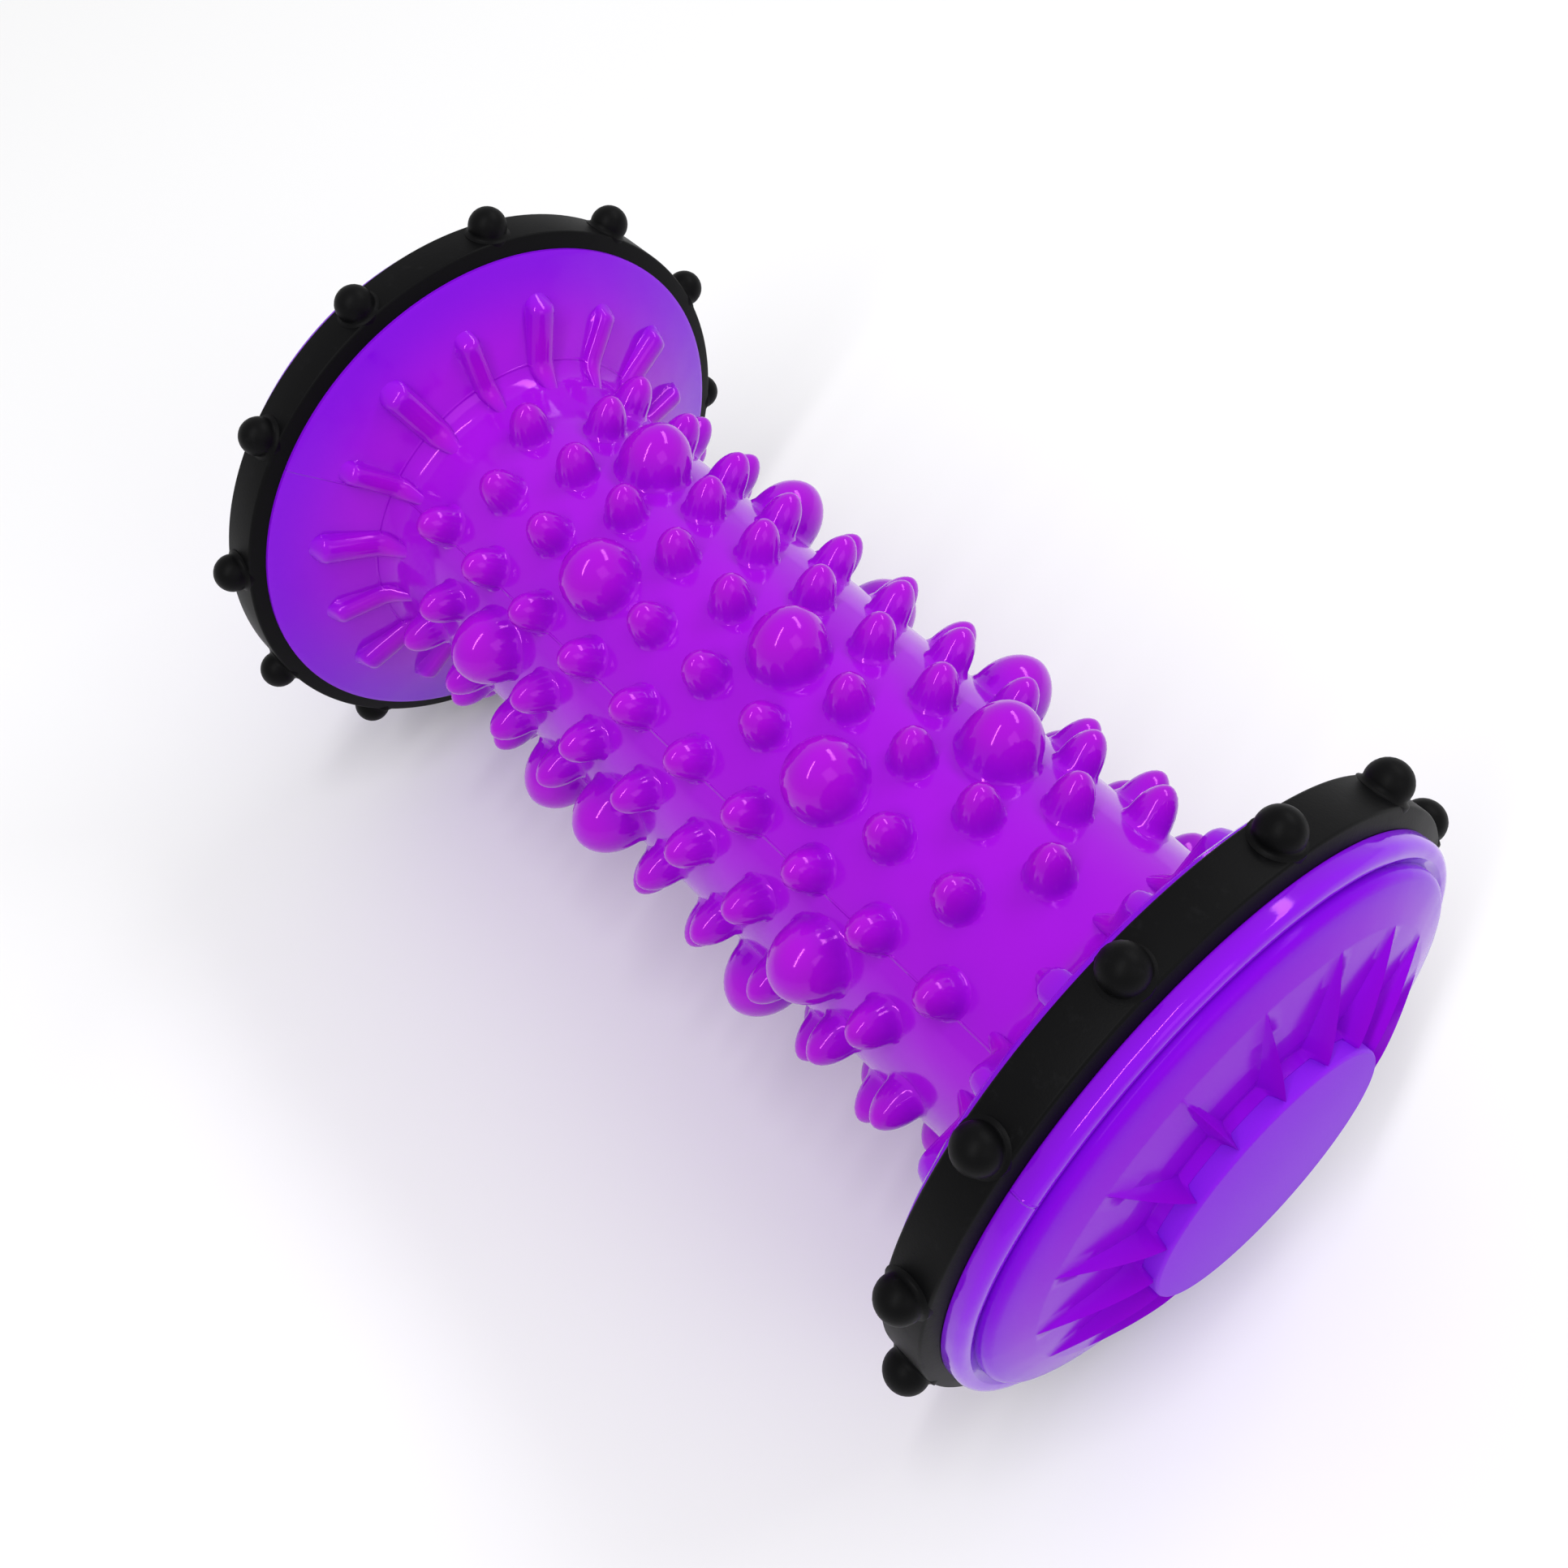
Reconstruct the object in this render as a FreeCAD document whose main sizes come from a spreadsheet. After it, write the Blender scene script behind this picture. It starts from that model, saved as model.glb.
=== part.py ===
"""Foot massage roller: a soft nubbed sleeve with two flanges, on a rigid core.

Row frame, millimetres: +X along the roller's axis, +Z up, origin at the middle
of the roller on its axis.  The two ends are alike; the left end's pieces are
the right end's turned half a turn about Z.
"""
import FreeCAD, Part
import Sketcher
import os
import re

from FreeCAD import Placement, Rotation, Vector

doc = FreeCAD.newDocument("foot_massage_roller")

# Driving dimensions.  Distances named *_x are measured from the roller's middle
# along its axis, and radii from that axis.
SIZES = {
    # soft sleeve
    "bore_radius": 17.0,
    "body_radius": 20.3,
    "body_end_x": 52.8,
    "fold_x": 54.4,
    "fold_radius": 22.4,
    "flange_edge_x": 58.3,
    "lip_radius": 35.9,
    "lip_round": 0.7,
    "rim_face_x": 68.2,
    "recess_radius": 30.4,
    "recess_floor_x": 59.8,
    "flange_wall": 2.2,
    # nubs on the sleeve
    "column_count": 16,
    "row_count": 19,
    "row_pitch": 4.96,
    "nub_radius": 2.5,
    "nub_height": 5.0,
    "dome_radius": 4.8,
    "dome_height": 6.4,
    "nub_root": 0.7,
    # fingers on the inner face of each flange
    "finger_x": 50.0,
    "finger_heel_x": 53.0,
    "finger_heel_radius": 22.4,
    "finger_nose_x": 54.4,
    "finger_nose": 1.6,
    "finger_tip_x": 57.6,
    "large_finger_reach": 31.2,
    "small_finger_reach": 30.2,
    "large_finger_width": 3.9,
    "small_finger_width": 2.9,
    # tyre and its seat
    "tyre_x": 62.4,
    "tyre_width": 6.6,
    "seat_radius": 32.8,
    "tread_radius": 38.0,
    "tread_width": 5.4,
    "stud_count": 12,
    "stud_radius": 2.5,
    "stud_circle": 38.9,
    # end cap
    "disc_radius": 33.4,
    "disc_edge": 0.8,
    "cone_radius": 28.1,
    "cone_x": 70.7,
    "moat_radius": 16.7,
    "moat_x": 71.8,
    "boss_radius": 16.2,
    "boss_x": 73.0,
    "cap_back_x": 66.2,
    "skirt_wall": 2.2,
    "spigot_wall": 2.0,
    "spigot_length": 10.0,
    "rib_count": 16,
    "rib_width": 1.3,
    "rib_top_x": 74.4,
    # hub plug
    "hub_radius": 16.0,
    "hub_face_x": 75.0,
    "hub_edge": 0.4,
    "stem_radius": 4.0,
    "stem_end_x": 64.5,
    # core tube
    "tube_wall": 2.4,
}

sheet = doc.addObject("Spreadsheet::Sheet", "Sizes")
for line, (alias, number) in enumerate(SIZES.items(), start=1):
    sheet.set(f"A{line}", alias)
    sheet.set(f"B{line}", str(number))
    sheet.setAlias(f"B{line}", alias)
doc.recompute()


def cells(expression):
    """An expression on size names, with each name pointing at its cell."""
    return re.sub(r"[a-z][a-z_]+", lambda word: "Sizes." + word.group(0), expression)


def number(expression):
    """The present value of an expression on size names."""
    return float(sheet.evalExpression(cells(expression)))


def bind(thing, **expressions):
    """Ties properties of an object to expressions on size names."""
    for name, expression in expressions.items():
        thing.setExpression(name, cells(expression))


def origin_of(body, role):
    """The body's own origin plane or axis with the given role."""
    for feature in body.Origin.OriginFeatures:
        if feature.Role == role:
            return feature
    raise ValueError(role)


def new_body(name, turned=False):
    body = doc.addObject("PartDesign::Body", name)
    body.Label = name
    if turned:
        body.Placement = Placement(Vector(), Rotation(Vector(0, 0, 1), 180))
    return body


def outline(body, name, corners, offset=Placement()):
    """A closed outline in the XZ plane; each corner is a pair (x, radius).

    Every corner is held by its two distances from the origin, and each
    distance reads the sheet.
    """
    sketch = body.newObject("Sketcher::SketchObject", name)
    sketch.AttachmentSupport = [(origin_of(body, "XZ_Plane"), "")]
    sketch.MapMode = "FlatFace"
    sketch.AttachmentOffset = offset
    points = [Vector(number(x), number(radius), 0) for x, radius in corners]
    for index, point in enumerate(points):
        after = points[(index + 1) % len(points)]
        sketch.addGeometry(Part.LineSegment(point, after), False)
    for index, (x, radius) in enumerate(corners):
        before = (index - 1) % len(corners)
        sketch.addConstraint(Sketcher.Constraint("Coincident", before, 2, index, 1))
        for kind, expression, axis in (("DistanceX", x, -2), ("DistanceY", radius, -1)):
            if expression == "0":
                sketch.addConstraint(Sketcher.Constraint("PointOnObject", index, 1, axis))
                continue
            held = Sketcher.Constraint(kind, -1, 1, index, 1, number(expression))
            place = sketch.addConstraint(held)
            sketch.setExpression(f"Constraints[{place}]", cells(expression))
    return sketch


def revolve(body, name, corners, offset=Placement()):
    """Turns an outline once round the roller's axis."""
    turned = body.newObject("PartDesign::Revolution", name)
    turned.Profile = outline(body, name + "_outline", corners, offset)
    turned.ReferenceAxis = (turned.Profile[0], ["H_Axis"])
    turned.Angle = 360
    return turned


def plate(body, name, corners, width, offset=Placement()):
    """A flat web of the given width, lying in a plane through the axis."""
    web = body.newObject("PartDesign::Pad", name)
    web.Profile = outline(body, name + "_outline", corners, offset)
    web.SideType = "Symmetric"
    bind(web, Length=width)
    return web


def round_the_axis(body, feature, count):
    """Repeats a feature evenly round the roller's axis."""
    feature.Refine = False
    doc.recompute()
    pattern = body.newObject("PartDesign::PolarPattern", feature.Name + "_pattern")
    pattern.Refine = False
    pattern.Originals = [feature]
    pattern.Axis = (origin_of(body, "X_Axis"), [""])
    pattern.Angle = 360
    pattern.Occurrences = count
    body.Tip = pattern
    return pattern


HALF_TURN = Rotation(Vector(0, 1, 0), 180)
COLUMN_ANGLE = 360 / number("column_count")


# --- massage sleeve: one soft moulding with the nubs and both flanges ---------

SLEEVE_WALL = [
    ("0", "body_radius"),
    ("body_end_x", "body_radius"),
    ("fold_x", "fold_radius"),
    ("flange_edge_x", "lip_radius - lip_round"),
    ("tyre_x - tyre_width / 2", "lip_radius"),
    ("tyre_x - tyre_width / 2", "seat_radius"),
    ("tyre_x + tyre_width / 2", "seat_radius"),
    ("tyre_x + tyre_width / 2", "lip_radius"),
    ("rim_face_x - lip_round", "lip_radius"),
    ("rim_face_x", "lip_radius - lip_round"),
    ("rim_face_x", "recess_radius"),
    ("recess_floor_x", "recess_radius"),
    ("body_end_x + flange_wall", "bore_radius"),
    ("0", "bore_radius"),
]

FINGER_SIZES = ("small", "large")

# rows that hold large domes: row -> (first dome's column, how many domes)
DOME_ROWS = {3: (1, 4), 5: (3, 4), 8: (4, 2), 10: (0, 2), 13: (3, 4), 15: (1, 4)}
NUBS_IN_ROW = 8


def nub_ring(sleeve, kind, row, column, count):
    """A ring of nubs or domes: half ellipsoids that stand on the sleeve."""
    nub = sleeve.newObject("PartDesign::AdditiveEllipsoid", f"{kind}_{row}_{column}")
    nub.Angle1 = 0
    bind(nub, Radius1=f"{kind}_height + nub_root", Radius2=f"{kind}_radius", Radius3=f"{kind}_radius")
    turn = Rotation(Vector(1, 0, 0), -COLUMN_ANGLE * column)
    foot = turn.multVec(Vector(0, 0, number("body_radius - nub_root")))
    foot.x = number("row_pitch") * (row - (number("row_count") - 1) / 2)
    nub.Placement = Placement(foot, turn)
    round_the_axis(sleeve, nub, count)


def nub_row(sleeve, row):
    """One row of eight; alternate rows are shifted by one column."""
    if row not in DOME_ROWS:
        nub_ring(sleeve, "nub", row, row % 2, NUBS_IN_ROW)
        return
    column, domes = DOME_ROWS[row]
    nub_ring(sleeve, "dome", row, column, domes)
    if domes == NUBS_IN_ROW // 2:
        nub_ring(sleeve, "nub", row, column + 2, domes)
    else:
        nub_ring(sleeve, "nub", row, column + 4, domes)
        nub_ring(sleeve, "nub", row, column + 2, 2 * domes)


def finger_outline(reach):
    """A finger from the body, along the flange, to its tip at a radius of reach."""
    return [
        ("finger_x", "body_radius - nub_root"),
        ("finger_heel_x", "finger_heel_radius"),
        ("finger_nose_x", f"{reach} - finger_nose"),
        ("finger_tip_x", reach),
        ("body_end_x + nub_root * 2", "body_radius - nub_root"),
    ]


def massage_sleeve():
    sleeve = new_body("massage_sleeve")
    for side, turn in (("right", Rotation()), ("left", HALF_TURN)):
        revolve(sleeve, f"{side}_wall", SLEEVE_WALL, Placement(Vector(), turn))
        for column, size in enumerate(FINGER_SIZES):
            tilt = Rotation(Vector(1, 0, 0), COLUMN_ANGLE * column)
            finger = plate(sleeve, f"{side}_{size}_finger", finger_outline(f"{size}_finger_reach"),
                           f"{size}_finger_width", Placement(Vector(), turn.multiply(tilt)))
            round_the_axis(sleeve, finger, NUBS_IN_ROW)
    for row in range(int(number("row_count"))):
        nub_row(sleeve, row)
    return sleeve


# --- core tube: the rigid pipe inside the sleeve -------------------------------

def core_tube():
    pipe = doc.addObject("Part::Cylinder", "core_tube_outside")
    bind(pipe, Radius="bore_radius", Height="cap_back_x * 2")
    bore = doc.addObject("Part::Cylinder", "core_tube_inside")
    bind(bore, Radius="bore_radius - tube_wall", Height="cap_back_x * 2")
    for cylinder in (pipe, bore):
        start = Vector(-number("cap_back_x"), 0, 0)
        cylinder.Placement = Placement(start, Rotation(Vector(0, 1, 0), 90))
        cylinder.setExpression("Placement.Base.x", cells("-cap_back_x"))
    tube = doc.addObject("Part::Cut", "core_tube")
    tube.Base = pipe
    tube.Tool = bore
    return tube


# --- tyres: black rubber rings with ball studs ---------------------------------

TYRE = [
    ("tyre_x - tyre_width / 2", "seat_radius"),
    ("tyre_x - tyre_width / 2", "lip_radius"),
    ("tyre_x - tread_width / 2", "tread_radius"),
    ("tyre_x + tread_width / 2", "tread_radius"),
    ("tyre_x + tyre_width / 2", "lip_radius"),
    ("tyre_x + tyre_width / 2", "seat_radius"),
]


def tyre(side, turned):
    ring = new_body(f"{side}_tyre", turned)
    revolve(ring, f"{side}_tyre_band", TYRE)
    stud = ring.newObject("PartDesign::AdditiveSphere", f"{side}_stud")
    bind(stud, Radius="stud_radius")
    # half a pitch off the bottom, so that the roller stands on two studs a side
    turn = Rotation(Vector(1, 0, 0), 180 / number("stud_count"))
    centre = turn.multVec(Vector(0, 0, number("stud_circle")))
    centre.x = number("tyre_x")
    stud.Placement = Placement(centre, turn)
    round_the_axis(ring, stud, int(number("stud_count")))
    return ring


# --- end caps: stiff discs pressed into the flanges and the tube ---------------

END_CAP = [
    ("rim_face_x", "recess_radius"),
    ("rim_face_x", "disc_radius"),
    ("rim_face_x + disc_edge", "disc_radius"),
    ("rim_face_x + disc_edge * 2", "disc_radius - disc_edge"),
    ("cone_x", "cone_radius"),
    ("moat_x - disc_edge / 4", "cone_radius - disc_edge * 7"),
    ("moat_x + disc_edge / 4", "moat_radius + disc_edge"),
    ("moat_x", "moat_radius"),
    ("boss_x", "boss_radius"),
    ("boss_x", "stem_radius"),
    ("stem_end_x", "stem_radius"),
    ("stem_end_x", "bore_radius - tube_wall - spigot_wall"),
    ("cap_back_x - spigot_length", "bore_radius - tube_wall - spigot_wall"),
    ("cap_back_x - spigot_length", "bore_radius - tube_wall"),
    ("cap_back_x", "bore_radius - tube_wall"),
    ("cap_back_x", "recess_radius - skirt_wall"),
    ("recess_floor_x", "recess_radius - skirt_wall"),
    ("recess_floor_x", "recess_radius"),
]

CAP_RIB = [
    ("cap_back_x + disc_edge", "boss_radius - disc_edge"),
    ("boss_x", "boss_radius - disc_edge"),
    ("boss_x", "boss_radius"),
    ("rib_top_x", "boss_radius"),
    ("cone_x", "cone_radius"),
    ("cap_back_x + disc_edge", "cone_radius"),
]


def end_cap(side, turned):
    cap = new_body(f"{side}_end_cap", turned)
    revolve(cap, f"{side}_cap_disc", END_CAP)
    rib = plate(cap, f"{side}_cap_rib", CAP_RIB, "rib_width")
    round_the_axis(cap, rib, int(number("rib_count")))
    return cap


# --- hub plugs: flat discs that close the middle of each cap -------------------

HUB_PLUG = [
    ("stem_end_x", "0"),
    ("stem_end_x", "stem_radius"),
    ("boss_x", "stem_radius"),
    ("boss_x", "hub_radius"),
    ("hub_face_x - hub_edge", "hub_radius"),
    ("hub_face_x", "hub_radius - hub_edge"),
    ("hub_face_x", "0"),
]


def hub_plug(side, turned):
    plug = new_body(f"{side}_hub_plug", turned)
    revolve(plug, f"{side}_hub_disc", HUB_PLUG)
    return plug


# --- build, check and write ----------------------------------------------------

pieces = [massage_sleeve(), core_tube()]
for side, turned in (("right", False), ("left", True)):
    pieces += [tyre(side, turned), end_cap(side, turned), hub_plug(side, turned)]
doc.recompute()

for thing in doc.Objects:
    if "Invalid" in thing.State or "Error" in thing.State:
        raise RuntimeError(f"{thing.Name}: {thing.State}")

os.makedirs("parts", exist_ok=True)
for piece in pieces:
    shape = piece.Shape
    if shape.isNull() or not shape.isValid() or len(shape.Solids) != 1:
        raise RuntimeError(f"{piece.Label}: not one valid solid")
    shape.exportStep(f"parts/{piece.Label}.step")
    box = shape.BoundBox
    print(f"{piece.Label}: {shape.Volume / 1000:.2f} cm3, x {box.XMin:.1f} to {box.XMax:.1f}, "
          f"z {box.ZMin:.1f} to {box.ZMax:.1f}")
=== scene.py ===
"""A foot massage roller lying on a pale floor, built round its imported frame.

Metres; +X along the roller's axis, +Z up, origin at the roller's middle.
"""
import math

import bmesh
import bpy
from mathutils import Matrix, Quaternion, Vector


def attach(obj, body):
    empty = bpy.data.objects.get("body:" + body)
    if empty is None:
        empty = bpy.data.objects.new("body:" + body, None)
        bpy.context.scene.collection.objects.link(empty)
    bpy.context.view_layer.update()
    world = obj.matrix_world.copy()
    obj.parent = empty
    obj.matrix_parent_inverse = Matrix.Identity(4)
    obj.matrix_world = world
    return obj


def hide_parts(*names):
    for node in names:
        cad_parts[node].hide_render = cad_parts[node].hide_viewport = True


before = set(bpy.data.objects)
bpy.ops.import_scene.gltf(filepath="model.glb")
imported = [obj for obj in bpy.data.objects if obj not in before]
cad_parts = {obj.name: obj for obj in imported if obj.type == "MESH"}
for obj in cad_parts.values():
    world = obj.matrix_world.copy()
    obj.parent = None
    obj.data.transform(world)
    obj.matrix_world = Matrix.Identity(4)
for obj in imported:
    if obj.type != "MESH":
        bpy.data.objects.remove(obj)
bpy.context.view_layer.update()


# --- Core tube ----------------------------------------------------------------
# A rigid pipe of plain moulded plastic runs through the roller and carries the
# load. The sleeve and the caps close it in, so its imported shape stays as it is.

class Socket:
    """A node's output; arithmetic on it adds Math nodes to its tree."""

    def __init__(self, nodes, socket):
        self.nodes = nodes
        self.socket = socket

    def out(self, name):
        """Another output of the same node."""
        return Socket(self.nodes, self.socket.node.outputs[name])

    def math(self, operation, *values):
        return self.nodes.add("ShaderNodeMath", {"operation": operation}, dict(enumerate(values)))

    def __add__(self, other):
        return self.math("ADD", self, other)

    def __sub__(self, other):
        return self.math("SUBTRACT", self, other)

    def __rsub__(self, other):
        return self.math("SUBTRACT", other, self)

    def __mul__(self, other):
        return self.math("MULTIPLY", self, other)

    def __truediv__(self, other):
        return self.math("DIVIDE", self, other)

    def __mod__(self, other):
        return self.math("FLOORED_MODULO", self, other)

    def __pow__(self, other):
        return self.math("POWER", self, other)

    def __abs__(self):
        return self.math("ABSOLUTE", self)

    def equals(self, other):
        return self.math("COMPARE", self, other, 0.1)

    def floor(self):
        return self.math("FLOOR", self)

    __radd__ = __add__
    __rmul__ = __mul__


class Nodes:
    """Adds nodes to one tree, with settings first and then values or links."""

    def __init__(self, tree):
        self.tree = tree

    def add(self, kind, settings=None, inputs=None):
        node = self.tree.nodes.new(kind)
        for name, value in (settings or {}).items():
            setattr(node, name, value)
        for name, value in (inputs or {}).items():
            for each in value if isinstance(value, list) else [value]:
                if isinstance(each, Socket):
                    self.tree.links.new(each.socket, node.inputs[name])
                else:
                    node.inputs[name].default_value = each
        return Socket(self, node.outputs[0]) if node.outputs else None

    def smooth_step(self, value, low, high):
        """0 below low and 1 above high, with a soft change between."""
        return self.add("ShaderNodeMapRange", {"interpolation_type": "SMOOTHSTEP"},
                        {"Value": value, "From Min": low, "From Max": high})

    def blend(self, first, second, factor):
        """A mix of two colours."""
        mixed = self.add("ShaderNodeMix", {"data_type": "RGBA"}, {0: factor, 6: first, 7: second})
        return Socket(self, mixed.socket.node.outputs[2])

    def noise(self, place, scale, detail=2.0, roughness=0.5):
        return self.add("ShaderNodeTexNoise", None, {
            "Vector": place, "Scale": scale, "Detail": detail, "Roughness": roughness})

    def bump(self, height, distance, strength=1.0, normal=None):
        inputs = {"Height": height, "Distance": distance, "Strength": strength}
        if normal:
            inputs["Normal"] = normal
        return self.add("ShaderNodeBump", None, inputs)


def screen_colour(red, green, blue):
    """A colour given as 0-255 screen values, in the shader's linear terms."""
    return tuple(((value / 255 + 0.055) / 1.055) ** 2.4 if value > 10 else value / 3295
                 for value in (red, green, blue)) + (1.0,)


def new_material(name, finish, changing):
    """A material: fixed values go on the shader's sockets, and changing(nodes)
    gives those that change over the surface."""
    material = bpy.data.materials.new(name)
    material.use_nodes = True
    nodes = Nodes(material.node_tree)
    shader = material.node_tree.nodes["Principled BSDF"]
    for name, value in finish.items():
        shader.inputs[name].default_value = value
    for name, socket in changing(nodes).items():
        material.node_tree.links.new(socket.socket, shader.inputs[name])
    return material


def core_plastic(nodes):
    place = nodes.add("ShaderNodeTexCoord").out("Object")
    cloud = nodes.noise(place, 60.0)
    grain = nodes.noise(place, 2500.0)
    return {
        "Base Color": nodes.blend(
            screen_colour(206, 205, 200), screen_colour(224, 223, 219), cloud),
        "Roughness": 0.45 + cloud * 0.15,
        "Normal": nodes.bump(grain, 0.00004),
    }


core_look = new_material("core_plastic", {"IOR": 1.46}, core_plastic)
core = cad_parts["core_tube"]
core.data.materials.clear()
core.data.materials.append(core_look)


# --- Massage sleeve -----------------------------------------------------------
# One soft moulding in glossy purple: a thick-walled tube with rows of nubs, a
# few large domes among them, and a flared flange at each end. Fingers brace the
# flanges, and a fine line shows where the two halves of the mould met.

BORE_RADIUS = 0.0170
BODY_RADIUS = 0.0203
BODY_END = 0.0528
FOLD = Vector((0.0544, 0.0224))
FLANGE_EDGE = Vector((0.0583, 0.0352))
LIP_RADIUS = 0.0359
SEAT_RADIUS = 0.0328
SEAT_START = 0.0591
SEAT_END = 0.0657
RIM_FACE = 0.0682
RECESS_RADIUS = 0.0304
RECESS_FLOOR = 0.0598
COLUMNS = 16
ROWS = 19
ROW_PITCH = 0.00496
NUB = {"foot": 0.00250, "height": 0.0050, "shoulder": 2.0, "side": 0.54}
DOME = {"foot": 0.0046, "height": 0.0064, "shoulder": 2.0, "side": 0.54}
FINGER_START = 0.0500
FINGER_HEEL = (0.0530, 0.0224)
FINGER_NOSE = 0.0544
FINGER_TIP = 0.0575
FINGER_BACK = 0.0580
FOOT_FLARE = 0.0004
LARGE_FINGER = {"reach": 0.0312, "width": 0.0039}
SMALL_FINGER = {"reach": 0.0302, "width": 0.0029}
PARTING_TURN = math.radians(-48.5)


def rounded_outline(corners, steps=5):
    """The outline through (x, radius, rounding) corners, each rounded off."""
    points = []
    for index, (x, y, rounding) in enumerate(corners):
        here = Vector((x, y))
        if not rounding:
            points.append(here)
            continue
        before = (Vector(corners[index - 1][:2]) - here).normalized()
        after = (Vector(corners[(index + 1) % len(corners)][:2]) - here).normalized()
        half = before.angle(after) / 2
        centre = here + (before + after).normalized() * rounding / math.sin(half)
        start = here + before * rounding / math.tan(half) - centre
        end = here + after * rounding / math.tan(half) - centre
        sweep = start.angle_signed(end)
        for step in range(steps + 1):
            turn = -sweep * step / steps
            points.append(centre + Matrix.Rotation(turn, 2) @ start)
    return points


def mesh_of(name, vertices, faces, material, sharp=35.0):
    """A smooth-shaded closed mesh whose faces point outwards."""
    mesh = bpy.data.meshes.new(name)
    mesh.from_pydata([tuple(vertex) for vertex in vertices], [], faces)
    form = bmesh.new()
    form.from_mesh(mesh)
    bmesh.ops.remove_doubles(form, verts=form.verts, dist=1e-6)
    bmesh.ops.recalc_face_normals(form, faces=form.faces)
    form.to_mesh(mesh)
    form.free()
    mesh.shade_smooth()
    mesh.set_sharp_from_angle(angle=math.radians(sharp))
    mesh.materials.append(material)
    return mesh


def strip(first, second):
    """Quads between two closed rings of vertex numbers."""
    count = len(first)
    return [(first[k], first[(k + 1) % count], second[(k + 1) % count], second[k])
            for k in range(count)]


def turned_mesh(name, outline, segments, material):
    """A closed outline of (x, radius) points turned once round the X axis."""
    vertices = []
    for k in range(segments):
        turn = math.tau * k / segments
        vertices += [(x, r * math.sin(turn), r * math.cos(turn)) for x, r in outline]
    size = len(outline)
    rings = [list(range(k * size, (k + 1) * size)) for k in range(segments)]
    faces = []
    for k in range(segments):
        faces += strip(rings[k - 1], rings[k])
    return mesh_of(name, vertices, faces, material)


def sleeve_look(nodes):
    place = nodes.add("ShaderNodeTexCoord").out("Object")
    axes = nodes.add("ShaderNodeSeparateXYZ", None, {0: place})
    x, y, z = (axes.out(name) for name in "XYZ")
    radius = (y * y + z * z) ** 0.5
    rise = nodes.add("ShaderNodeAttribute", {"attribute_name": "rise"}).out("Fac")
    cloud = nodes.noise(place, 45.0, 3.0)
    ripple = nodes.noise(place, 170.0, 1.0)
    grain = nodes.noise(place, 2600.0, 2.0)
    body = nodes.blend(screen_colour(148, 12, 204), screen_colour(162, 16, 212), cloud)
    nub = screen_colour(160, 12, 196)
    thin_edge_glow = screen_colour(110, 8, 214)
    colour = nodes.blend(body, nub, rise * 0.9)
    # the flange rims are painted bluer: a painted glow of light through the thin edges
    colour = nodes.blend(colour, thin_edge_glow, nodes.smooth_step(radius, 0.024, 0.036) * 0.75)
    # distance from the plane of the parting line, and only where the line runs
    across = abs(y * math.cos(PARTING_TURN) - z * math.sin(PARTING_TURN))
    line = 1.0 - nodes.smooth_step(across, 0.00003, 0.00022)
    # a second fine line runs round each flange where it leaves the body
    fold = 1.0 - nodes.smooth_step(abs(radius - FOLD.y), 0.00003, 0.00020)
    line = line + fold * nodes.smooth_step(abs(x), 0.0535, 0.0540) * 0.6
    fine = nodes.bump(grain, 0.000006, 0.3)
    soft = nodes.bump(ripple, 0.0003, 0.4, fine)
    return {
        "Base Color": colour,
        "Roughness": 0.05 + cloud * 0.06 + grain * 0.03,
        "Normal": nodes.bump(line, 0.00012, 0.8, soft),
    }


soft_purple = new_material("soft_purple", {
    "IOR": 1.5, "Specular IOR Level": 0.5, "Specular Tint": (1.0, 0.22, 0.85, 1.0),
}, sleeve_look)


def add_rise(mesh, values):
    """Marks how far each point stands proud, from 0 to 1, for the colour."""
    layer = mesh.attributes.new("rise", "FLOAT", "POINT")
    layer.data.foreach_set("value", values)


def template(mesh):
    """An object that only Geometry Nodes copy; it isn't in the scene."""
    return bpy.data.objects.new(mesh.name, mesh)


def nub_mesh(name, sizes, segments, steps):
    """A nub with a small flare at its foot, standing on top of the sleeve."""
    below = sizes["foot"] + FOOT_FLARE * 1.5
    rings = [(below, -0.0008), (below, -0.00006)]
    for k in range(steps):
        share = math.sin(math.pi / 2 * k / steps) ** 1.15
        height = sizes["height"] * share
        side = sizes["foot"] * (1 - share ** sizes["shoulder"]) ** sizes["side"]
        rings.append((side + FOOT_FLARE * math.exp(-height / 0.0003), height))
    vertices = []
    for radius, height in rings:
        for j in range(segments):
            turn = math.tau * j / segments
            around = radius * math.sin(turn) / BODY_RADIUS
            out = BODY_RADIUS + height
            vertices.append(
                (radius * math.cos(turn), out * math.sin(around), out * math.cos(around)))
    numbers = [list(range(k * segments, (k + 1) * segments)) for k in range(len(rings))]
    faces = [face for k in range(len(rings) - 1) for face in strip(numbers[k], numbers[k + 1])]
    faces.append(tuple(numbers[0]))
    tip = len(vertices)
    vertices.append((0, 0, BODY_RADIUS + sizes["height"]))
    faces += [(numbers[-1][j], numbers[-1][(j + 1) % segments], tip) for j in range(segments)]
    mesh = mesh_of(name, vertices, faces, soft_purple, 60.0)
    add_rise(mesh, [min(max((vertex.co.z - BODY_RADIUS) / NUB["height"], 0), 1)
                    for vertex in mesh.vertices])
    return mesh


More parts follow.
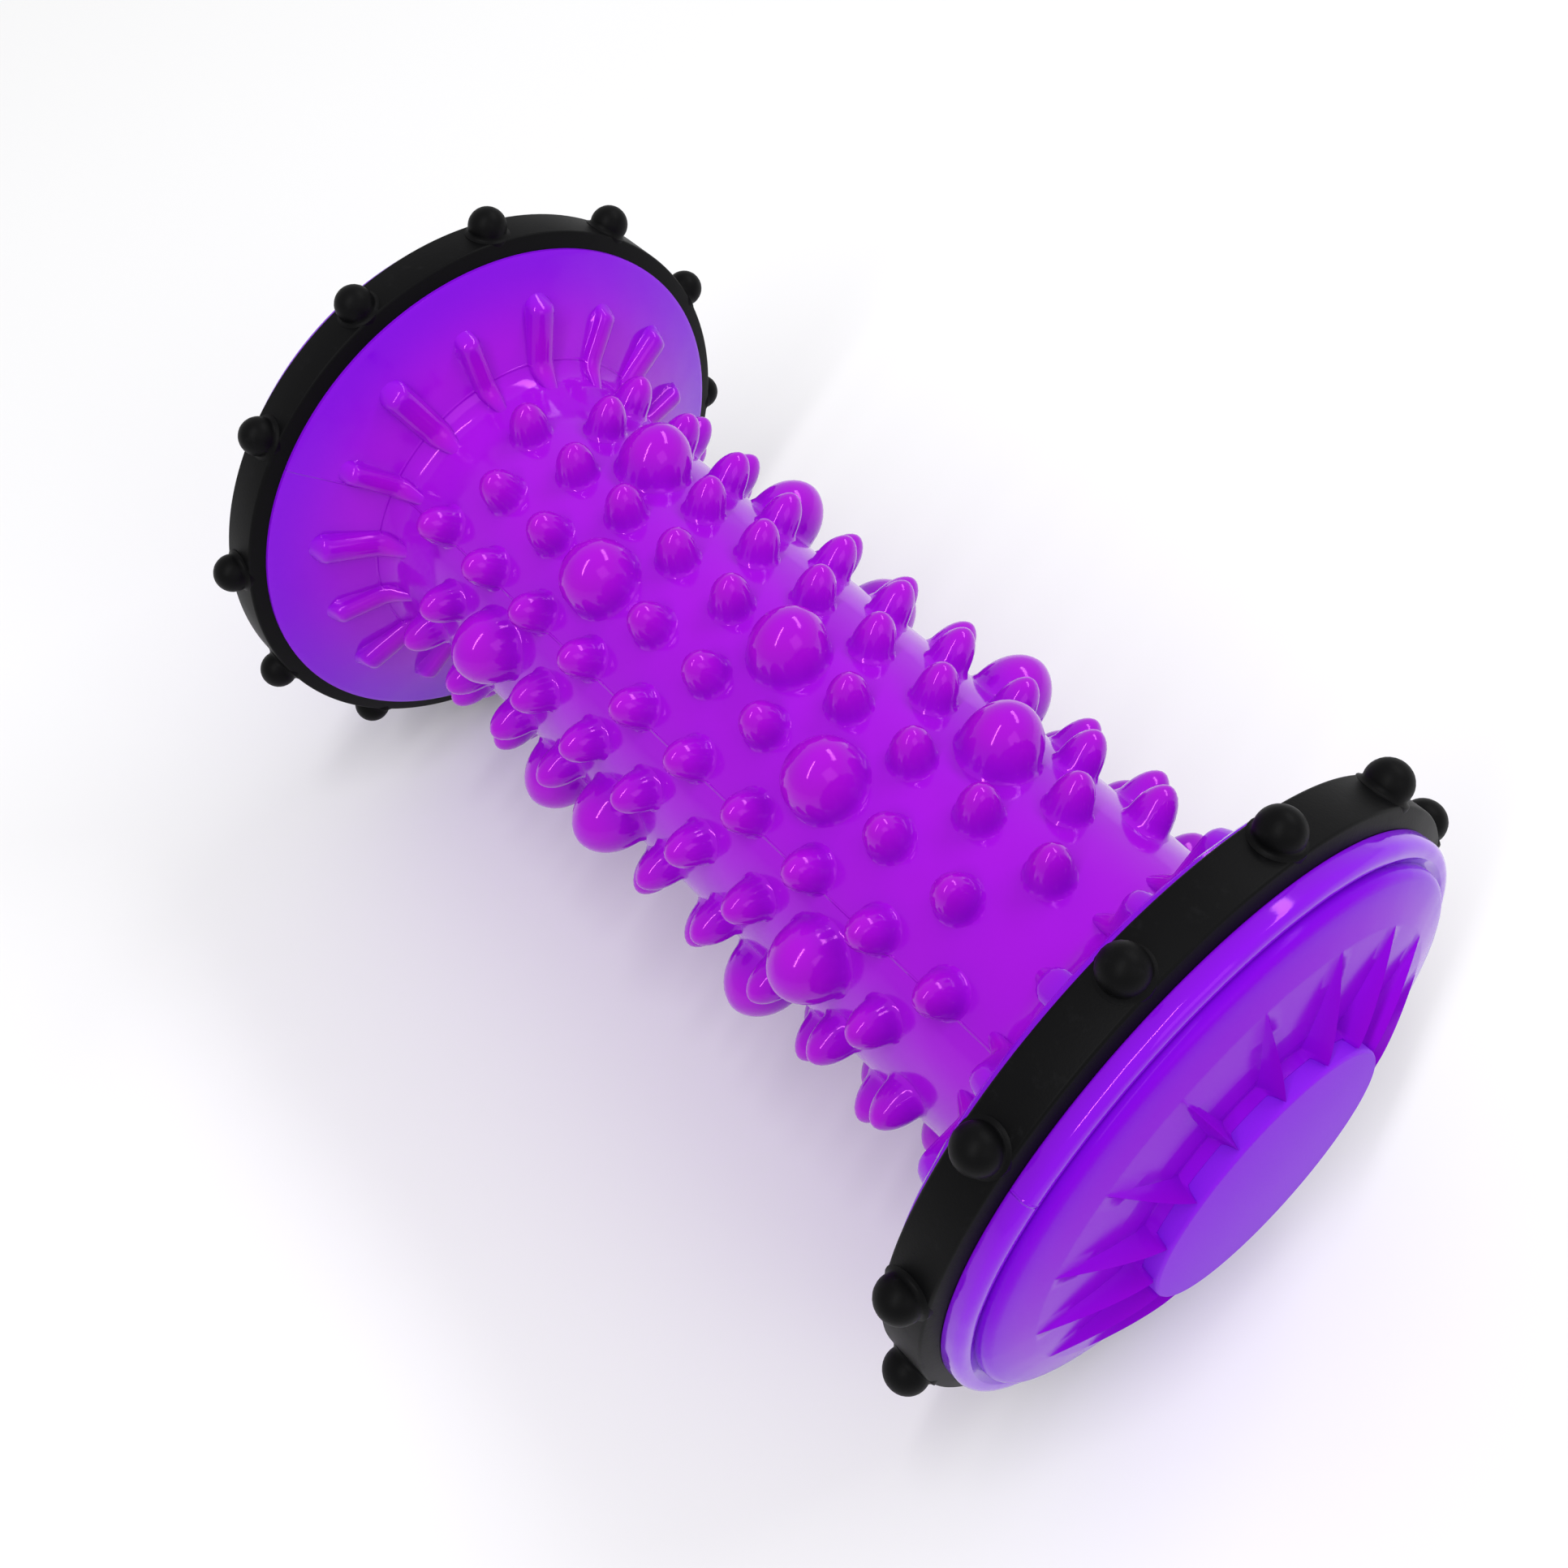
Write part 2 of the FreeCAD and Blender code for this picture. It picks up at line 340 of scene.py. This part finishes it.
def finger_mesh(name, sizes):
    """A brace that rises off the body and runs up the flange to a round nose."""
    along = (FLANGE_EDGE - FOLD).normalized()
    outward = Vector((-along.y, along.x))
    half, reach = sizes["width"] / 2, sizes["reach"]
    crest = rounded_outline([
        (FINGER_START, BODY_RADIUS - 0.0006, 0), (*FINGER_HEEL, 0.003),
        (FINGER_NOSE, reach - 0.0012, 0.0013), (FINGER_TIP, reach, 0),
        (FINGER_BACK, 0.02, 0)], 5)[:-1]
    stations = []
    for first, second in zip(crest, crest[1:]):
        steps = max(1, round((second - first).length / 0.0008))
        stations += [first.lerp(second, k / steps) for k in range(steps)]
    stations.append(crest[-1])
    nose = (crest[-1] - FOLD).dot(along) - half
    vertices = []
    for point in stations:
        past = max(0.0, (point - FOLD).dot(along) - nose) / half
        wide = half * max(0.25, 1 - past ** 2) ** 0.5
        wide *= min(1.0, 0.35 + (point.x - FINGER_START) / 0.004)
        edge = 0.85 * wide
        height = (point - FOLD).dot(outward)
        section = [(0.0, 0.0), (wide - edge, 0.00002)]
        for step in range(1, 5):
            turn = math.pi / 2 * step / 4
            section.append((wide - edge + edge * math.sin(turn), edge * (1 - math.cos(turn))))
        section += [(wide + 0.0001, max(edge * 1.3, height - 0.0003)),
                    (wide + 0.0005, max(edge * 1.5, height + 0.0001)),
                    (wide + 0.0005, max(edge * 1.7, height + 0.0010))]
        mirrored = [(-side, depth) for side, depth in reversed(section[1:])]
        for side, depth in mirrored + section:
            spot = point - outward * depth
            vertices.append((spot.x, side, spot.y))
    size = len(vertices) // len(stations)
    rings = [list(range(k * size, (k + 1) * size)) for k in range(len(stations))]
    faces = [face for k in range(len(stations) - 1) for face in strip(rings[k], rings[k + 1])]
    faces += [tuple(rings[0]), tuple(rings[-1])]
    mesh = mesh_of(name, vertices, faces, soft_purple, 50.0)
    rises = []
    for vertex in mesh.vertices:
        off_flange = (Vector((vertex.co.x, vertex.co.z)) - FOLD).dot(outward)
        rises.append(min(max(min(off_flange, vertex.co.z - BODY_RADIUS) / 0.002, 0.0), 0.8))
    add_rise(mesh, rises)
    return mesh


def new_tree(name, inputs):
    """A Geometry Nodes tree with the given inputs besides its geometry."""
    tree = bpy.data.node_groups.new(name, "GeometryNodeTree")
    tree.interface.new_socket("Geometry", in_out="OUTPUT", socket_type="NodeSocketGeometry")
    tree.interface.new_socket("Geometry", in_out="INPUT", socket_type="NodeSocketGeometry")
    for label, kind in inputs.items():
        tree.interface.new_socket(label, in_out="INPUT", socket_type="NodeSocket" + kind)
    nodes = Nodes(tree)
    return nodes, nodes.add("NodeGroupInput")


def end_tree(nodes, base, copies, material):
    """Joins the base and its real copies, all in one material."""
    real = nodes.add("GeometryNodeRealizeInstances", None, {0: copies})
    joined = nodes.add("GeometryNodeJoinGeometry", None, {0: [base, real]})
    painted = nodes.add("GeometryNodeSetMaterial", None, {"Geometry": joined, "Material": material})
    nodes.add("NodeGroupOutput", None, {0: painted})
    return nodes.tree


def nub_row_tree():
    """Rows of copies round the axis, alternate rows shifted by one column."""
    nodes, given = new_tree("nub_rows", {
        "Nub": "Object", "Dome": "Object", "Rows": "Int", "Columns": "Int",
        "Row Pitch": "Float", "Material": "Material"})
    in_row = given.out("Columns") * 0.5
    index = nodes.add("GeometryNodeInputIndex")
    row = (index / in_row).floor()
    column = (index % in_row).floor() * 2.0 + row % 2.0
    # rows counted from the middle one
    level = row - (given.out("Rows") - 1.0) * 0.5
    along = nodes.add("ShaderNodeCombineXYZ", None, {0: level * given.out("Row Pitch")})
    turn = nodes.add("ShaderNodeCombineXYZ", None, {0: column / given.out("Columns") * -math.tau})
    dome = (abs(level).equals(6.0) * (column % 4.0).equals(1.0)
            + abs(level).equals(4.0) * (column % 4.0).equals(3.0)
            + level.equals(-1.0) * (column % 8.0).equals(4.0)
            + level.equals(1.0) * (column % 8.0).equals(0.0))
    points = nodes.add("GeometryNodePoints", None, {
        "Count": given.out("Rows") * in_row, "Position": along})
    both = []
    for part, chosen in (("Dome", dome), ("Nub", 1.0 - dome)):
        shape = nodes.add("GeometryNodeObjectInfo", None, {"Object": given.out(part)})
        both.append(nodes.add("GeometryNodeInstanceOnPoints", None, {
            "Points": points, "Selection": chosen, "Instance": shape.out("Geometry"),
            "Rotation": turn}))
    copies = nodes.add("GeometryNodeJoinGeometry", None, {0: both})
    return end_tree(nodes, given.out("Geometry"), copies, given.out("Material"))


def ring_tree():
    """Copies set evenly round the axis, at the right end or turned to the left."""
    nodes, given = new_tree("ring_of_copies", {
        "Copy": "Object", "Count": "Int", "First Turn": "Float", "End Turn": "Float",
        "Material": "Material"})
    index = nodes.add("GeometryNodeInputIndex")
    angle = index / given.out("Count") * -math.tau - given.out("First Turn")
    turn = nodes.add("ShaderNodeCombineXYZ", None, {0: angle})
    points = nodes.add("GeometryNodePoints", None, {"Count": given.out("Count")})
    shape = nodes.add("GeometryNodeObjectInfo", None, {"Object": given.out("Copy")})
    ring = nodes.add("GeometryNodeInstanceOnPoints", None, {
        "Points": points, "Instance": shape.out("Geometry"), "Rotation": turn})
    end = nodes.add("ShaderNodeCombineXYZ", None, {2: given.out("End Turn")})
    placed = nodes.add("GeometryNodeTransform", None, {"Geometry": ring, "Rotation": end})
    return end_tree(nodes, given.out("Geometry"), placed, given.out("Material"))


def add_copies(piece, tree, values):
    """Puts a tree on a piece, with its inputs set by their labels."""
    modifier = piece.modifiers.new(tree.name, "NODES")
    modifier.node_group = tree
    for item in tree.interface.items_tree:
        if item.in_out == "INPUT" and item.name in values:
            modifier[item.identifier] = values[item.name]


def settle(piece):
    """Turns a piece and its modifiers into one plain mesh."""
    bpy.context.view_layer.update()
    seen = piece.evaluated_get(bpy.context.evaluated_depsgraph_get())
    mesh = bpy.data.meshes.new_from_object(seen)
    piece.modifiers.clear()
    piece.data = mesh
    mesh.name = piece.name


def new_piece(name, mesh):
    piece = bpy.data.objects.new(name, mesh)
    bpy.context.scene.collection.objects.link(piece)
    return piece


def stands_for(piece, node):
    """Tells the frame what a finished piece rides on and what it replaces."""
    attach(piece, "root")
    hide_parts(node)


half_wall = [
    (BODY_END, BODY_RADIUS, 0.0035),
    (*FOLD, 0.0),
    (*FLANGE_EDGE, 0.0),
    (0.0587, 0.0359, 0.0),
    (SEAT_START, LIP_RADIUS, 0.0),
    (SEAT_START, SEAT_RADIUS, 0.0),
    (SEAT_END, SEAT_RADIUS, 0.0),
    (SEAT_END, LIP_RADIUS, 0.0002),
    (RIM_FACE, LIP_RADIUS, 0.0011),
    (RIM_FACE, 0.0343, 0.0003),
    (RIM_FACE - 0.0004, 0.0337, 0.0),
    (RIM_FACE - 0.0004, RECESS_RADIUS, 0.0),
    (RECESS_FLOOR, RECESS_RADIUS, 0.0),
    (BODY_END + 0.0022, BORE_RADIUS, 0.0),
]
wall_corners = half_wall + [(-x, r, rounding) for x, r, rounding in reversed(half_wall)]
wall = turned_mesh("massage_sleeve_body", rounded_outline(wall_corners), 160, soft_purple)
add_rise(wall, [0.0] * len(wall.vertices))
sleeve = new_piece("soft_sleeve", wall)
add_copies(sleeve, nub_row_tree(), {
    "Nub": template(nub_mesh("nub", NUB, 20, 9)),
    "Dome": template(nub_mesh("dome", DOME, 28, 12)),
    "Rows": ROWS, "Columns": COLUMNS, "Row Pitch": ROW_PITCH, "Material": soft_purple})
ring_of_copies = ring_tree()
for label, finger_sizes, first_turn in (
        ("small_finger", SMALL_FINGER, 0.0), ("large_finger", LARGE_FINGER, math.tau / COLUMNS)):
    finger = template(finger_mesh(label, finger_sizes))
    for end_turn in (0.0, math.pi):
        add_copies(sleeve, ring_of_copies, {
            "Copy": finger, "Count": COLUMNS // 2, "First Turn": first_turn,
            "End Turn": end_turn, "Material": soft_purple})
settle(sleeve)
stands_for(sleeve, "massage_sleeve")


# --- Tyres --------------------------------------------------------------------
# A black rubber ring is stretched into the groove of each flange. It has a flat
# tread with sloping shoulders, and twelve ball studs that grip the floor.

TREAD_RADIUS = 0.0380
TREAD_HALF = 0.0027
TYRE_MIDDLE = (SEAT_START + SEAT_END) / 2
STUDS = 12
STUD_RADIUS = 0.00250
STUD_CIRCLE = 0.0389


def rubber_look(nodes):
    place = nodes.add("ShaderNodeTexCoord").out("Object")
    axes = nodes.add("ShaderNodeSeparateXYZ", None, {0: place})
    cloud = nodes.noise(place, 90.0, 4.0, 0.6)
    grain = nodes.noise(place, 3200.0, 3.0, 0.6)
    sheen_patches = nodes.smooth_step(nodes.noise(place, 420.0, 5.0, 0.7), 0.55, 0.75)
    radius = (axes.out("Y") * axes.out("Y") + axes.out("Z") * axes.out("Z")) ** 0.5
    # the tread is painted lighter grey in noisy patches: a painted sheen
    painted_tread_sheen = nodes.smooth_step(radius, 0.0376, 0.0381) * sheen_patches
    dark = nodes.blend(screen_colour(5, 5, 6), screen_colour(10, 10, 11), cloud)
    return {
        "Base Color": nodes.blend(dark, screen_colour(30, 30, 32), painted_tread_sheen * 0.35),
        "Roughness": 0.40 + cloud * 0.14 + sheen_patches * 0.08,
        "Normal": nodes.bump(grain, 0.00003, 0.5),
    }


black_rubber = new_material("black_rubber", {"IOR": 1.5, "Specular IOR Level": 0.07}, rubber_look)


def stud_mesh():
    """A ball stud with a low collar where it leaves the tread."""
    segments = 24
    rings = [(0.0029, 0.0372), (0.0029, TREAD_RADIUS - 0.00004), (0.0026, TREAD_RADIUS + 0.0001)]
    waist = math.asin((TREAD_RADIUS + 0.0003 - STUD_CIRCLE) / STUD_RADIUS)
    for k in range(10):
        lift = waist + (math.pi / 2 - waist) * k / 10
        rings.append((STUD_RADIUS * math.cos(lift), STUD_CIRCLE + STUD_RADIUS * math.sin(lift)))
    vertices = []
    for radius, height in rings:
        for j in range(segments):
            turn = math.tau * j / segments
            vertices.append(
                (TYRE_MIDDLE + radius * math.cos(turn), radius * math.sin(turn), height))
    numbers = [list(range(k * segments, (k + 1) * segments)) for k in range(len(rings))]
    faces = [face for k in range(len(rings) - 1) for face in strip(numbers[k], numbers[k + 1])]
    faces.append(tuple(numbers[0]))
    vertices.append((TYRE_MIDDLE, 0, STUD_CIRCLE + STUD_RADIUS))
    faces += [(numbers[-1][j], numbers[-1][(j + 1) % segments], len(vertices) - 1)
              for j in range(segments)]
    return mesh_of("stud", vertices, faces, black_rubber, 50.0)


def left_copy(name, piece):
    """The left end's piece is the right end's, turned half round about Z."""
    mesh = piece.data.copy()
    mesh.transform(Matrix.Rotation(math.pi, 4, "Z"))
    return new_piece(name, mesh)


band_corners = [
    (SEAT_START, SEAT_RADIUS, 0.0),
    (SEAT_START, LIP_RADIUS, 0.0003),
    (TYRE_MIDDLE - TREAD_HALF, TREAD_RADIUS, 0.0004),
    (TYRE_MIDDLE + TREAD_HALF, TREAD_RADIUS, 0.0004),
    (SEAT_END, LIP_RADIUS, 0.0003),
    (SEAT_END, SEAT_RADIUS, 0.0),
]
right_tyre = new_piece("right_rubber_tyre", turned_mesh(
    "tyre_band", rounded_outline(band_corners, 4), 192, black_rubber))
add_copies(right_tyre, ring_of_copies, {
    "Copy": template(stud_mesh()), "Count": STUDS, "First Turn": math.pi / STUDS,
    "Material": black_rubber})
settle(right_tyre)
left_tyre = left_copy("left_rubber_tyre", right_tyre)
stands_for(right_tyre, "right_tyre")
stands_for(left_tyre, "left_tyre")


# --- End caps -----------------------------------------------------------------
# Each end is closed by a stiff glossy disc with a rounded edge, pressed into the
# flange's recess and into the core tube. Sixteen thin ribs run in to its hub.

RIBS = 16
DISC_RADIUS = 0.0334
BOSS_RADIUS = 0.0162
BOSS_TOP = 0.0730
RIB_TIP_RADIUS = 0.0286
RIB_TOP = 0.0746
RIB_FOOT = 0.0705
DISC_BACK = 0.0676
DISC_FACE = 0.0693
CAP_BACK = 0.0662
SPIGOT_END = 0.0562
SPIGOT_RADIUS = 0.0146
STEM_RADIUS = 0.0040


def cap_look(nodes):
    place = nodes.add("ShaderNodeTexCoord").out("Object")
    axes = nodes.add("ShaderNodeSeparateXYZ", None, {0: place})
    radius = (axes.out("Y") * axes.out("Y") + axes.out("Z") * axes.out("Z")) ** 0.5
    cloud = nodes.noise(place, 40.0, 3.0)
    ripple = nodes.noise(place, 120.0, 1.0)
    grain = nodes.noise(place, 2600.0, 2.0)
    rise = nodes.add("ShaderNodeAttribute", {"attribute_name": "rise"}).out("Fac")
    face = nodes.blend(screen_colour(126, 6, 200), screen_colour(138, 10, 208), cloud)
    rib = screen_colour(136, 6, 196)
    edge = screen_colour(112, 8, 208)
    colour = nodes.blend(face, rib, rise)
    # the disc is painted bluer towards its edge: a painted glow of light through the thin edge
    colour = nodes.blend(colour, edge, nodes.smooth_step(radius, 0.029, 0.0335) * 0.5)
    return {
        "Base Color": colour,
        "Roughness": 0.12 + cloud * 0.08 + grain * 0.03,
        "Normal": nodes.bump(ripple, 0.0002, 0.4, nodes.bump(grain, 0.000006, 0.3)),
    }


cap_plastic = new_material("cap_plastic", {
    "IOR": 1.5, "Specular IOR Level": 0.06, "Specular Tint": (1.0, 0.22, 0.85, 1.0),
}, cap_look)


def cap_sector_mesh():
    """One sixteenth of the cap, with its rib along the middle."""
    face = rounded_outline([
        (DISC_BACK, RECESS_RADIUS, 0.0), (DISC_BACK, DISC_RADIUS, 0.0),
        (DISC_FACE, DISC_RADIUS, 0.0011),
        (0.0707, 0.0281, 0.003), (0.0716, 0.0215, 0.003), (0.0719, 0.0182, 0.0006),
        (0.0718, 0.0166, 0.0002), (BOSS_TOP, BOSS_RADIUS, 0.0), (BOSS_TOP, STEM_RADIUS, 0.0)], 4)
    hidden = [(0.0645, STEM_RADIUS), (0.0645, SPIGOT_RADIUS - 0.002),
              (SPIGOT_END, SPIGOT_RADIUS - 0.002), (SPIGOT_END, SPIGOT_RADIUS),
              (CAP_BACK, SPIGOT_RADIUS), (CAP_BACK, RECESS_RADIUS - 0.0022),
              (RECESS_FLOOR, RECESS_RADIUS - 0.0022),
              (RECESS_FLOOR, RECESS_RADIUS)]
    fine = []
    for first, second in zip(face, face[1:]):
        steps = max(1, round((second - first).length / 0.0011))
        fine += [first.lerp(second, k / steps) for k in range(steps)]
    outline = fine + [Vector(point) for point in hidden]
    shares = (-1.0, -0.62, -0.36, -0.16, -0.06, 0.0, 0.06, 0.16, 0.36, 0.62, 1.0)
    gaps = (0.25, 0.6)
    half = math.pi / RIBS
    vertices, rises = [], []
    for x, radius in outline:
        share = max(0.0, radius - BOSS_RADIUS) / (RIB_TIP_RADIUS - BOSS_RADIUS)
        crest = RIB_TOP - (RIB_TOP - RIB_FOOT) * share ** 1.3
        tall = max(0.0, crest - x) if 0.0692 < x and radius > BOSS_RADIUS - 1e-6 else 0.0
        tall = 0.0 if radius > RIB_TIP_RADIUS else tall
        wide = (0.0003 + 0.25 * tall) / radius
        places = [(-half + (half - wide) * share, 0.0) for share in (0.0,) + gaps]
        places += [(wide * share, tall * (1 - abs(share)) ** 1.5) for share in shares]
        places += [(half - (half - wide) * share, 0.0) for share in gaps[::-1] + (0.0,)]
        for turn, lift in places:
            vertices.append((x + lift, radius * math.sin(turn), radius * math.cos(turn)))
            rises.append(min(1.0, lift / 0.002))
    size = len(vertices) // len(outline)
    faces = []
    for k in range(len(outline)):
        low, high = (k - 1) % len(outline) * size, k * size
        faces += [(low + j, low + j + 1, high + j + 1, high + j) for j in range(size - 1)]
    mesh = bpy.data.meshes.new("cap_sector")
    mesh.from_pydata(vertices, [], faces)
    add_rise(mesh, rises)
    return mesh


def weld(mesh, sharp):
    """Joins the copies' shared edges into one closed skin facing outwards."""
    form = bmesh.new()
    form.from_mesh(mesh)
    bmesh.ops.remove_doubles(form, verts=form.verts, dist=2e-6)
    bmesh.ops.recalc_face_normals(form, faces=form.faces)
    form.to_mesh(mesh)
    form.free()
    mesh.shade_smooth()
    mesh.set_sharp_from_angle(angle=math.radians(sharp))


right_cap = new_piece("right_ribbed_cap", bpy.data.meshes.new("cap_base"))
add_copies(right_cap, ring_of_copies, {
    "Copy": template(cap_sector_mesh()), "Count": RIBS, "Material": cap_plastic})
settle(right_cap)
weld(right_cap.data, 45.0)
left_cap = left_copy("left_ribbed_cap", right_cap)
stands_for(right_cap, "right_end_cap")
stands_for(left_cap, "left_end_cap")


# --- Hub plugs ----------------------------------------------------------------
# A flat disc with a finely blasted face closes the middle of each cap. Its stem
# is pressed into the cap's hub.

HUB_RADIUS = 0.0160
HUB_FACE = 0.0750
STEM_END = 0.0645


def hub_look(nodes):
    place = nodes.add("ShaderNodeTexCoord").out("Object")
    cloud = nodes.noise(place, 70.0, 3.0)
    grain = nodes.noise(place, 5200.0, 3.0, 0.6)
    return {
        "Base Color": nodes.blend(screen_colour(126, 24, 212), screen_colour(134, 30, 218), cloud),
        "Roughness": 0.42 + grain * 0.14,
        "Normal": nodes.bump(grain, 0.00003, 0.5),
    }


hub_plastic = new_material("hub_plastic", {
    "IOR": 1.48, "Specular IOR Level": 0.08, "Specular Tint": (0.9, 0.4, 1.0, 1.0),
}, hub_look)
plug_outline = rounded_outline([
    (STEM_END, 0.0, 0.0), (STEM_END, STEM_RADIUS, 0.0), (BOSS_TOP, STEM_RADIUS, 0.0),
    (BOSS_TOP, HUB_RADIUS, 0.0), (HUB_FACE, HUB_RADIUS, 0.0004), (HUB_FACE, 0.0, 0.0)], 4)
right_hub = new_piece("right_hub_disc", turned_mesh("hub_disc", plug_outline, 128, hub_plastic))
left_hub = left_copy("left_hub_disc", right_hub)
stands_for(right_hub, "right_hub_plug")
stands_for(left_hub, "left_hub_plug")


# --- Studio -------------------------------------------------------------------
# The roller stands on four studs on a plain pale floor, under soft lights, with
# the camera above its right end.

FLOOR_HALF = 6
FLOOR_LEVEL = -(STUD_CIRCLE * math.cos(math.pi / STUDS) + STUD_RADIUS)


def floor_look(nodes):
    place = nodes.add("ShaderNodeTexCoord").out("Object")
    cloud = nodes.noise(place, 3.0, 3.0)
    return {
        "Base Color": nodes.blend((0.80, 0.80, 0.81, 1), (0.84, 0.84, 0.84, 1), cloud),
        "Roughness": 0.55 + cloud * 0.1,
    }


floor_mesh = bpy.data.meshes.new("floor")
floor_mesh.from_pydata([
    (-FLOOR_HALF, -FLOOR_HALF, FLOOR_LEVEL), (FLOOR_HALF, -FLOOR_HALF, FLOOR_LEVEL),
    (FLOOR_HALF, FLOOR_HALF, FLOOR_LEVEL), (-FLOOR_HALF, FLOOR_HALF, FLOOR_LEVEL),
], [], [(0, 1, 2, 3)])
floor_mesh.materials.append(new_material("pale_floor", {}, floor_look))
new_piece("floor", floor_mesh)

world = bpy.data.worlds.new("studio")
world.use_nodes = True
world.node_tree.nodes["Background"].inputs["Color"].default_value = (1.0, 1.0, 1.0, 1.0)
world.node_tree.nodes["Background"].inputs["Strength"].default_value = 0.72
bpy.context.scene.world = world


def soft_light(name, place, size, power):
    """A rectangular light that faces the roller."""
    lamp = bpy.data.lights.new(name, "AREA")
    lamp.shape = "RECTANGLE"
    lamp.size, lamp.size_y = size
    lamp.energy = power
    light = bpy.data.objects.new(name, lamp)
    light.location = place
    light.rotation_mode = "QUATERNION"
    light.rotation_quaternion = (-Vector(place)).to_track_quat("-Z", "Y")
    bpy.context.scene.collection.objects.link(light)


soft_light("key", (0.15, -0.40, 0.85), (0.05, 0.90), 4.0)
soft_light("fill", (0.85, 0.10, 0.60), (0.50, 0.50), 1.1)
soft_light("back", (0.10, 0.75, 0.80), (0.80, 0.16), 3.6)

# the plain transform keeps the plastic's strong purple
bpy.context.scene.view_settings.view_transform = "Standard"

lens = bpy.data.cameras.new("camera")
lens.sensor_width = 36.0
lens.lens = 42.65
lens.shift_x = 0.05
lens.shift_y = -0.101
lens.clip_start = 0.01
camera = bpy.data.objects.new("camera", lens)
camera.location = (0.1110, -0.0741, 0.1817)
camera.rotation_mode = "QUATERNION"
camera.rotation_quaternion = (
    Vector((-0.5498, 0.3326, -0.7662)).to_track_quat("-Z", "Y")
    @ Quaternion((0, 0, 1), math.radians(-10.6)))
bpy.context.scene.collection.objects.link(camera)
bpy.context.scene.camera = camera
